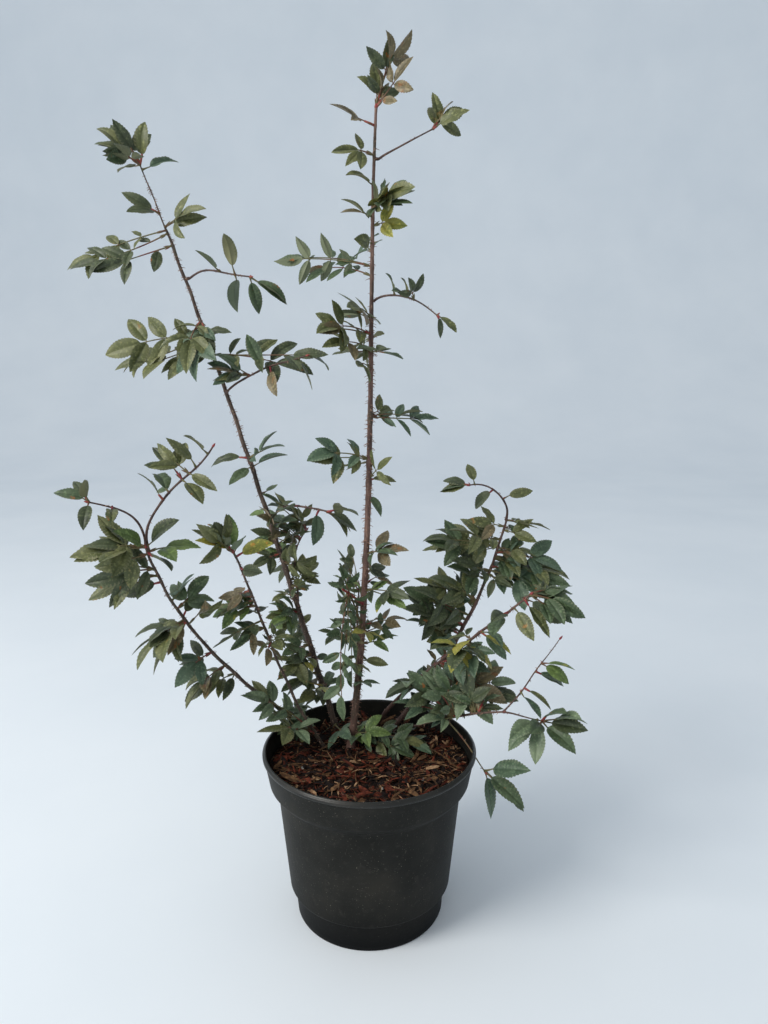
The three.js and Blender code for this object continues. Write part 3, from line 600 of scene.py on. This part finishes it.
def spray(p, reach, bow, n, length, tint, where=None, shy=1.0):
    """one compound leaf: stalk, pairs of leaflets and a last one, stipules at its foot"""
    global count
    p, reach = np.asarray(p, float), np.asarray(reach, float)
    bend = np.array([bow[0], 0.0, bow[1]])
    far = np.linalg.norm(reach)
    last = min(length * 1.06, far * (0.8 if n == 1 else 0.62))
    length = min(length, last * 1.05)
    st = 1 - last / far
    curve = lambda s: p + reach * s + bend * 4 * s * (1 - s)
    slope = lambda s: unit(reach + bend * 4 * (1 - 2 * s))
    tip = p + reach
    to_eye = unit(LOOK - (p + tip) / 2)
    look = unit(UP * 0.8 + to_eye * 0.5 + rng.normal(0, 0.38, 3))
    kind = colour_of(tint, p[0])
    red = tint in "BRD" or rng.uniform() < 0.22
    stalk = PILES["stalks_red" if red else "stalks"]
    m = max(5, int(far * st / 3))
    ss = np.linspace(0, st, m)
    path = np.array([curve(s) for s in ss])
    base_r = 0.42 + 0.012 * length
    tube(stalk, path, np.linspace(base_r, base_r * 0.6, m) * (1 + 0.7 * np.exp(-ss * far / 1.5)), 6)
    if red and far > 16:
        # crimson sheath where the stalk leaves the limb
        k = max(3, int(np.searchsorted(ss * far, 6.0)) + 1)
        tube(PILES["buds"], path[:k], (base_r + 0.25) * np.linspace(1.15, 0.85, min(k, m)), 7)
    for _ in range(int(far * st * 0.12)):
        i = int(rng.integers(1, m))
        t = slope(ss[i])
        o = square(rng.normal(0, 1, 3), t)
        prickle(PILES["prickles"], path[i] + o * base_r * 0.6, o, -t, rng.uniform(0.5, 1.1), 0.14, 4)
    pairs = (n - 1) // 2
    wide = rng.uniform(0.42, 0.54)
    curl0 = rng.uniform(0.15, 0.95)
    fold0 = rng.uniform(0.2, 0.6)

    def blade(at, d, nn, ln, kind_):
        global count
        count += 1
        lengths.append(ln)
        leaflet(
            LEAVES[kind_], at, d, nn, ln, ln * wide * rng.uniform(0.9, 1.1),
            fold0 + rng.normal(0, 0.1), curl0 + rng.normal(0, 0.22), rng.normal(0, 0.25), abs(rng.normal(0, 0.012)), rng.uniform(0, 6.3), rng.uniform(0.86, 1.12),
            aim=True,
        )

    def tint_here():
        if kind in ("O", "G1", "G3") and rng.uniform() < 0.05:
            return "B" if rng.uniform() < 0.6 else "O"
        return kind

    for k in range(pairs):
        f = (k + 1) / (pairs + 0.35) if pairs > 1 else 0.72
        first = 0.42 if pairs == 1 else 0.30
        s = st * (first + (0.9 - first) * (k / (pairs - 1))) if pairs > 1 else st * 0.74
        t = slope(s)
        nn = square(look, t)
        sd = np.cross(nn, t)
        size = (0.74 + 0.26 * (k / max(pairs - 1, 1))) if pairs > 1 else 0.92
        if pairs >= 3 and k == 0:
            size = 0.62
        for sign in (-1, 1):
            if rng.uniform() < 0.035:
                continue
            ang = math.radians(rng.uniform(48, 68))
            d = unit(t * math.cos(ang) + sd * sign * math.sin(ang) - UP * rng.uniform(0, 0.22) + nn * rng.normal(0.04, 0.12))
            face = turn(nn, d, -sign * rng.normal(0.12, 0.22))
            at = curve(s) + d * 0.3
            ln = length * size * rng.uniform(0.9, 1.06)
            tube(stalk, np.array([curve(s), curve(s) + d * 1.0, curve(s) + d * 2.0]), [base_r * 0.6, base_r * 0.55, 0.3], 5)
            blade(at + d * 0.9, d, face, ln, tint_here())
    t = unit(tip - curve(st))
    nn = turn(square(look, t), t, rng.normal(0, 0.2))
    blade(curve(st) - t * 0.6, t, nn, last * 1.02, tint_here())
    # stipules hugging the stalk's foot
    if n >= 3:
        t0 = slope(0.05)
        sd = np.cross(square(look, t0), t0)
        ln = min(6.5, 0.18 * far + 1.5)
        for sign in (-1, 1):
            d = unit(t0 + sd * sign * 0.28)
            tube(PILES["stipules"], np.array([curve(0.02) + d * ln * s for s in (0.0, 0.35, 0.7, 1.0)]), np.array([0.05, 0.12, 0.09, 0.02]) * ln, 5)
    if rng.uniform() < 0.4:
        blob(PILES["buds"], p, unit(slope(0) * 0.55 + UP * 0.7 + rng.normal(0, 0.15, 3)), rng.uniform(1.8, 3.0), rng.uniform(0.6, 0.9))


DENSE = {"right_mid": 0.9, "right_inner": 0.9, "right_outer": 0.8, "right_low": 0.8, "right_upper": 0.7, "right_bottom": 0.5, "centre_left": 0.8, "centre_right": 0.5, "left_inner": 0.7, "left_inner_low": 0.7, "low_centre": 0.8, "mid_left_crown": 0.6, "mid_left_low": 0.6, "rim_left": 0.5, "left_fern": 0.35, "left_upper_right": 0.2}
# every spray grows by the same rule from its own seed, so changing one leaves the others alone
for number, (mass, limb, t, reach, bow, n, length, tint) in enumerate(SPRAYS):
    rng = np.random.default_rng([1907, number])
    spray(along(BY_NAME[limb], t), reach, bow, n, length, tint, mass)
rng = np.random.default_rng(1908)
# growth behind the leaves in front, so the crown is full from every side
for mass, limb, t, reach, bow, n, length, tint in SPRAYS:
    share = 0.0 if mass.startswith("crown") else DENSE.get(mass, 0.1)
    if rng.uniform() > share or n < 3:
        continue
    far = float(np.linalg.norm(reach))
    # by the open canes it keeps close to the limb and leaves the gaps between the arms clear
    turned = np.array(reach) * (rng.uniform(0.45, 0.8) if mass in DENSE else rng.uniform(0.15, 0.3))
    depth = math.sqrt(max(far**2 - turned[0] ** 2 - turned[2] ** 2, 100)) * rng.uniform(0.5, 0.85)
    base = along(BY_NAME[limb], min(t + rng.uniform(-0.04, 0.04), 1.0))
    turned[1] = depth if (reach[1] <= 0 or rng.uniform() < 0.6) else -depth
    turned[1] = np.clip(base[1] + turned[1], -84, 98) - base[1]
    spray(base, turned, bow, min(n, 5), length * rng.uniform(0.75, 0.95), tint if tint in "OBP" and rng.uniform() < 0.6 else "G", mass)
print("sprays", len(SPRAYS))
print("leaflets", count, "lengths", np.percentile(lengths, [0, 5, 50, 95, 100]).round(1))

# ---------------------------------------------------------------- pot
def pot_profile():
    """outer line from the middle of the underside up to the rim, then down the inside, in radius and height"""
    out = [(0, 0.0), (30, 0.0), (60, 0.0), (64.6, 0.0), (66.0, 0.5), (66.5, 1.6)]
    out += [(66.5 + 2.0 * i / 6, 1.6 + 23.4 * i / 6) for i in range(1, 7)]
    out += [(68.8, 26.2), (69.6, 26.9), (71.4, 27.3), (72.6, 27.8), (73.0, 28.6), (73.1, 29.8)]
    out += [(73.1 + 8.7 * i / 22, 29.8 + 89.0 * i / 22) for i in range(1, 23)]
    z0, r0, z1, r1 = 118.8, 81.8, 129.5, 89.4
    for i in range(1, 13):
        s = i / 12
        out.append((r0 + (r1 - r0) * (s * s * (3 - 2 * s)), z0 + (z1 - z0) * s))
    out += [(89.4 + 3.8 * i / 8, 129.5 + 20.5 * i / 8) for i in range(1, 9)]
    out += [(93.4, 151.2), (93.9, 151.8), (94.7, 152.1), (95.0, 152.6), (95.0, 153.6), (94.8, 154.4), (94.1, 154.9), (93.6, 155.3), (93.4, 155.8), (93.0, 156.0), (92.2, 156.0), (91.8, 155.7)]
    out += [(91.6, 154.0), (91.5, 151.0), (89.6, 140.0), (87.5, 129.4), (79.9, 122.0), (71.2, 31.5), (66.6, 29.0), (64.5, 3.4), (62.0, 3.0), (30, 3.0), (0, 3.0)]
    return out


def lathe(pile, profile, turn_count):
    a = np.linspace(0, 2 * math.pi, turn_count, endpoint=False)
    pr = np.array(profile, float)
    mid = pr[1:-1]
    rings = np.stack([mid[:, None, 0] * np.cos(a), mid[:, None, 0] * np.sin(a), np.repeat(mid[:, 1:2], turn_count, 1)], -1)
    v = np.concatenate([rings.reshape(-1, 3), [[0, 0, pr[0, 1]], [0, 0, pr[-1, 1]]]])
    i, j = np.meshgrid(np.arange(len(mid) - 1), np.arange(turn_count), indexing="ij")
    k = (j + 1) % turn_count
    n = turn_count
    quads = np.stack([i * n + j, i * n + k, (i + 1) * n + k, (i + 1) * n + j], -1).reshape(-1, 4)
    j = np.arange(n)
    k = (j + 1) % n
    e = (len(mid) - 1) * n
    tris = np.concatenate([np.stack([k, j, np.full(n, len(mid) * n)], 1), np.stack([e + j, e + k, np.full(n, len(mid) * n + 1)], 1)])
    # the rolled lip shines a little more than the wall
    high = mid[:-1, 1] > 150.6
    pile.add(v, quads, tris, np.repeat(high.astype(int), turn_count), 0)


pot = Pile()
lathe(pot, pot_profile(), 180)

# ---------------------------------------------------------------- soil and mulch
def ground(x, y):
    return (
        139.6
        + 1.3 * np.sin(x * 0.071 + 1.3) * np.cos(y * 0.083 + 0.4)
        + 0.9 * np.sin(x * 0.19 + y * 0.13)
        + 0.7 * np.sin(x * 0.37 - y * 0.31 + 2.1)
        + 0.5 * np.sin(x * 0.83 + 0.7) * np.sin(y * 0.91)
    )


mix = Pile()
turns, rings = 150, 52
a = np.linspace(0, 2 * math.pi, turns, endpoint=False)
rr = np.linspace(0, 88.9, rings + 1)[1:]
X, Y = rr[:, None] * np.cos(a), rr[:, None] * np.sin(a)
Z = ground(X, Y) + rng.normal(0, 0.35, X.shape)
wall = [(88.2, 133.0), (87.0, 129.4), (79.4, 121.8), (70.8, 31.6), (66.2, 30.0), (64.2, 3.6), (30, 3.4)]
lowX = np.array([[r * np.cos(t) for t in a] for r, z in wall])
lowY = np.array([[r * np.sin(t) for t in a] for r, z in wall])
lowZ = np.array([[z] * turns for r, z in wall])
V = np.concatenate([np.stack([X, Y, Z], -1).reshape(-1, 3), np.stack([lowX, lowY, lowZ], -1).reshape(-1, 3), [[0, 0, ground(0, 0)], [0, 0, 3.4]]])
total = rings + len(wall)
i, j = np.meshgrid(np.arange(total - 1), np.arange(turns), indexing="ij")
k = (j + 1) % turns
quads = np.stack([i * turns + j, (i + 1) * turns + j, (i + 1) * turns + k, i * turns + k], -1).reshape(-1, 4)
j = np.arange(turns)
k = (j + 1) % turns
e = (total - 1) * turns
tris = np.concatenate([np.stack([j, k, np.full(turns, total * turns)], 1), np.stack([e + k, e + j, np.full(turns, total * turns + 1)], 1)])
mix.add(V, quads, tris)

CHIPS = {k: Pile() for k in ("mulch_dark", "mulch_red", "mulch_brown", "mulch_pale")}


def chip(pile, c, d, up, length, width, thick):
    """bent splinter of bark with ragged ends"""
    d = unit(d)
    up = square(up, d)
    sd = np.cross(up, d)
    s = np.array([0, 0.18, 0.5, 0.82, 1.0])
    w = width * np.array([0.25, 0.85, 1.0, 0.8, 0.2]) * rng.uniform(0.75, 1.2, 5) / 2
    h = thick * np.array([0.4, 0.9, 1.0, 0.85, 0.35]) / 2
    bend = rng.normal(0, 0.07) * length
    sway = rng.normal(0, 0.09) * length
    mid = np.asarray(c) + np.outer((s - 0.5) * length, d) + np.outer(bend * 4 * s * (1 - s), up) + np.outer(sway * 4 * s * (1 - s), sd)
    twist = rng.normal(0, 0.35) * (s - 0.5)
    v = []
    for q, ww, hh, tw in zip(mid, w, h, twist):
        u1 = sd * math.cos(tw) + up * math.sin(tw)
        u2 = up * math.cos(tw) - sd * math.sin(tw)
        v += [q - u1 * ww, q - u2 * hh, q + u1 * ww, q + u2 * hh]
    quads = [[i * 4 + j, i * 4 + (j + 1) % 4, (i + 1) * 4 + (j + 1) % 4, (i + 1) * 4 + j] for i in range(4) for j in range(4)]
    quads += [[3, 2, 1, 0], [16, 17, 18, 19]]
    pile.add(np.array(v), quads)


canes_at = np.array([along(l, 0.0)[:2] for l in LIMBS if l[0].startswith("cane")])
KINDS = ["mulch_dark", "mulch_red", "mulch_brown", "mulch_pale"]
for i in range(3300):
    kind = KINDS[int(rng.choice(4, p=[0.45, 0.28, 0.18, 0.09]))]
    ln = float(np.clip(rng.lognormal(1.9, 0.6), 2.0, 27))
    if kind == "mulch_pale":
        ln = min(ln, 17)
    r = 86.5 * math.sqrt(rng.uniform())
    r = min(r, 87.0 - ln / 2)
    ang = rng.uniform(0, 2 * math.pi)
    x, y = r * math.cos(ang), r * math.sin(ang)
    tilt = rng.normal(0, 0.2)
    hd = rng.uniform(0, math.pi)
    d = np.array([math.cos(hd), math.sin(hd), tilt])
    lift = abs(rng.normal(0, 1.5)) + abs(tilt) * ln * 0.3
    z = float(ground(x, y)) + 0.1 + lift
    thin = rng.uniform() < 0.55
    w = rng.uniform(0.4, 1.0) if thin else rng.uniform(1.2, 5.0) * min(1, ln / 9)
    chip(CHIPS[kind], (x, y, z), d, np.array([rng.normal(0, 0.3), rng.normal(0, 0.3), 1]), ln, w, rng.uniform(0.35, 0.6) if thin else rng.uniform(0.5, 1.3))
# one longer pinkish stick lying near the left front
chip(CHIPS["mulch_pale"], (-47, -37, 142.6), (1, -0.12, 0.03), (0, 0, 1), 27, 3.4, 1.8)
chip(CHIPS["mulch_brown"], (28, -58, 142.4), (0.8, 0.6, 0.1), (0, 0, 1), 24, 2.6, 1.4)
chip(CHIPS["mulch_red"], (-6, -64, 142.6), (1, 0.5, 0.16), (0, 0, 1), 22, 5.0, 1.6)
chip(CHIPS["mulch_brown"], (40, 6, 143.4), (0.3, 1, 0.1), (0, 0, 1), 26, 3.2, 1.5)
grit = Pile()
for x, y in [(46, -34), (12, -49), (-20, -60), (58, -12), (-58, -14), (4, 36), (-30, 48), (32, 60), (66, 30), (-66, 32), (24, -72), (-44, -58)]:
    blob(grit, (x, y, float(ground(x, y)) + 1.0), unit((rng.normal(), rng.normal(), 0.6)), rng.uniform(1.6, 2.8), rng.uniform(0.8, 1.3), 7)

# ---------------------------------------------------------------- pieces
# below about 52 mm the pot's colour fades to near black at the foot: painted shade over the dust specks
pot_mat = material("pot_plastic", tones((24, 24, 21), (33, 33, 30), (45, 43, 38)), 22, 0.55, 0.12, spots=(srgb(48, 46, 42), 160, 0.58, 0.8), fine=(srgb(112, 107, 96), 900, 0.67, 0.75), bump=0.25, bump_scale=420, low=(srgb(5, 6, 7), 0.006, 0.052))
lip_mat = material("pot_lip", tones((28, 28, 26), (36, 36, 33), (48, 46, 41)), 40, 0.34, 0.32, fine=(srgb(110, 104, 94), 900, 0.67, 0.75), bump=0.15, bump_scale=420)
soil_mat = material("potting_mix", tones((8, 5, 4), (20, 12, 9), (44, 26, 17)), 260, 0.9, 0.2, fine=(srgb(96, 58, 36), 700, 0.58, 0.7), bump=1.0, bump_scale=700)
mulch = {
    "mulch_dark": material("mulch_dark", tones((12, 8, 7), (24, 15, 12), (44, 28, 21)), 320, 0.85, 0.25, bump=0.7),
    "mulch_red": material("mulch_red", tones((48, 19, 11), (82, 34, 20), (120, 58, 34)), 320, 0.82, 0.25, bump=0.7),
    "mulch_brown": material("mulch_brown", tones((54, 36, 22), (88, 62, 40), (126, 94, 62)), 320, 0.85, 0.25, bump=0.7),
    "mulch_pale": material("mulch_pale", tones((116, 84, 62), (152, 118, 88), (190, 156, 120)), 320, 0.85, 0.25, bump=0.7),
}
grit_mat = material("grit", tones((170, 166, 156), (205, 202, 194)), 500, 0.85, 0.25, bump=0.5)
stip_mats = [material("stipule_upper", tones((104, 58, 48), (98, 88, 56), (88, 98, 62)), 60, 0.5, 0.4, bump=0.2), material("stipule_under", tones((116, 72, 60), (112, 102, 74), (104, 114, 82)), 60, 0.6, 0.3, bump=0.2)]

cane_nodes = [n for n in NODES if n.startswith("cane_")]
pot.build("pot_shell", [pot_mat, lip_mat], "pot_plastic", ["pot"])
mix.build("soil_mix", [soil_mat], "potting_mix", ["soil"])
for name, pile in CHIPS.items():
    pile.build(name, [mulch[name]], "potting_mix", smooth=False)
grit.build("grit", [grit_mat], "potting_mix", smooth=False)
PILES["canes"].build("canes_bark", [bark], "cane_bark", [n for n in cane_nodes if n not in GREY])
PILES["canes_grey"].build("canes_left_bark", [bark_grey], "cane_bark", [n for n in cane_nodes if n in GREY])
PILES["boughs"].build("boughs_bark", [bough_mat], "bough_bark", [n for n in NODES if n.startswith("bough_") and n not in RED | PALE])
PILES["red_boughs"].build("boughs_red", [red_mat], "bough_bark", [n for n in NODES if n in RED])
PILES["prickles"].build("prickles", [prickle_mat], "cane_bark")
PILES["stalks"].build("leaf_stalks", [stalk_mat], "bough_bark", [n for n in NODES if n in PALE])
PILES["stalks_red"].build("leaf_stalks_red", [stalk_red], "bough_bark")
PILES["stipules"].build("stipules", stip_mats, "rose_leaf")
PILES["buds"].build("buds", [red_mat], "bough_bark")

# each mass of leaves is stood for by the kind of leaf that most of its sprays have
main_tint = {}
for mass in [n for n in NODES if n.startswith("leaves_")]:
    kinds = [row[7] for row in SPRAYS if "leaves_" + row[0] == mass]
    best = max(sorted(set(kinds)), key=kinds.count) if kinds else "G"
    main_tint[mass] = {"G": ("G1", "G2", "G3")[len(mass) % 3]}.get(best, best)
for kind, (name, mats) in TINTS.items():
    if LEAVES[kind].n:
        LEAVES[kind].build(name, mats, "rose_leaf", [m for m, k in main_tint.items() if k == kind])

# ---------------------------------------------------------------- floor and light
floor_mesh = bpy.data.meshes.new("floor")
line = [(-5, 0), (2.6, 0)] + [(2.6 + 1.6 * math.sin(math.radians(a)), 1.6 - 1.6 * math.cos(math.radians(a))) for a in range(6, 91, 6)] + [(4.2, 6)]
floor_mesh.from_pydata([(x, y, z) for y, z in line for x in (-7, 7)], [], [(2 * i, 2 * i + 1, 2 * i + 3, 2 * i + 2) for i in range(len(line) - 1)])
floor_mesh.polygons.foreach_set("use_smooth", [True] * len(floor_mesh.polygons))
floor = bpy.data.objects.new("floor", floor_mesh)
bpy.context.scene.collection.objects.link(floor)
floor_mesh.materials.append(material("floor", tones((232, 238, 243), (238, 243, 247)), 3, 0.95, 0.05))

world = bpy.data.worlds.new("studio")
bpy.context.scene.world = world
world.use_nodes = True
wt = world.node_tree
# soft light that falls off from the left to the right
where = wt.nodes.new("ShaderNodeTexCoord")
split = wt.nodes.new("ShaderNodeSeparateXYZ")
ramp = wt.nodes.new("ShaderNodeMapRange")
ramp.inputs["From Min"].default_value = -1
ramp.inputs["From Max"].default_value = 1
ramp.inputs["To Min"].default_value = 1.2
ramp.inputs["To Max"].default_value = 0.36
wt.links.new(where.outputs["Generated"], split.inputs["Vector"])
wt.links.new(split.outputs["X"], ramp.inputs["Value"])
wt.links.new(ramp.outputs["Result"], wt.nodes["Background"].inputs["Strength"])
wt.nodes["Background"].inputs["Color"].default_value = srgb(222, 229, 236)


def area(name, at, to, size, power, colour):
    data = bpy.data.lights.new(name, "AREA")
    data.shape = "DISK"
    data.size = size
    data.energy = power
    data.color = colour
    o = bpy.data.objects.new(name, data)
    bpy.context.scene.collection.objects.link(o)
    o.location = at
    o.rotation_euler = (Vector(to) - Vector(at)).to_track_quat("-Z", "Y").to_euler()


area("key", (-1.6, -1.0, 1.7), (0, 0, 0.35), 1.1, 34, (1.0, 0.97, 0.92))
area("fill", (1.6, -0.8, 1.0), (0, 0, 0.3), 1.6, 1.2, (0.9, 0.95, 1.0))
bpy.context.scene.view_settings.view_transform = "Standard"
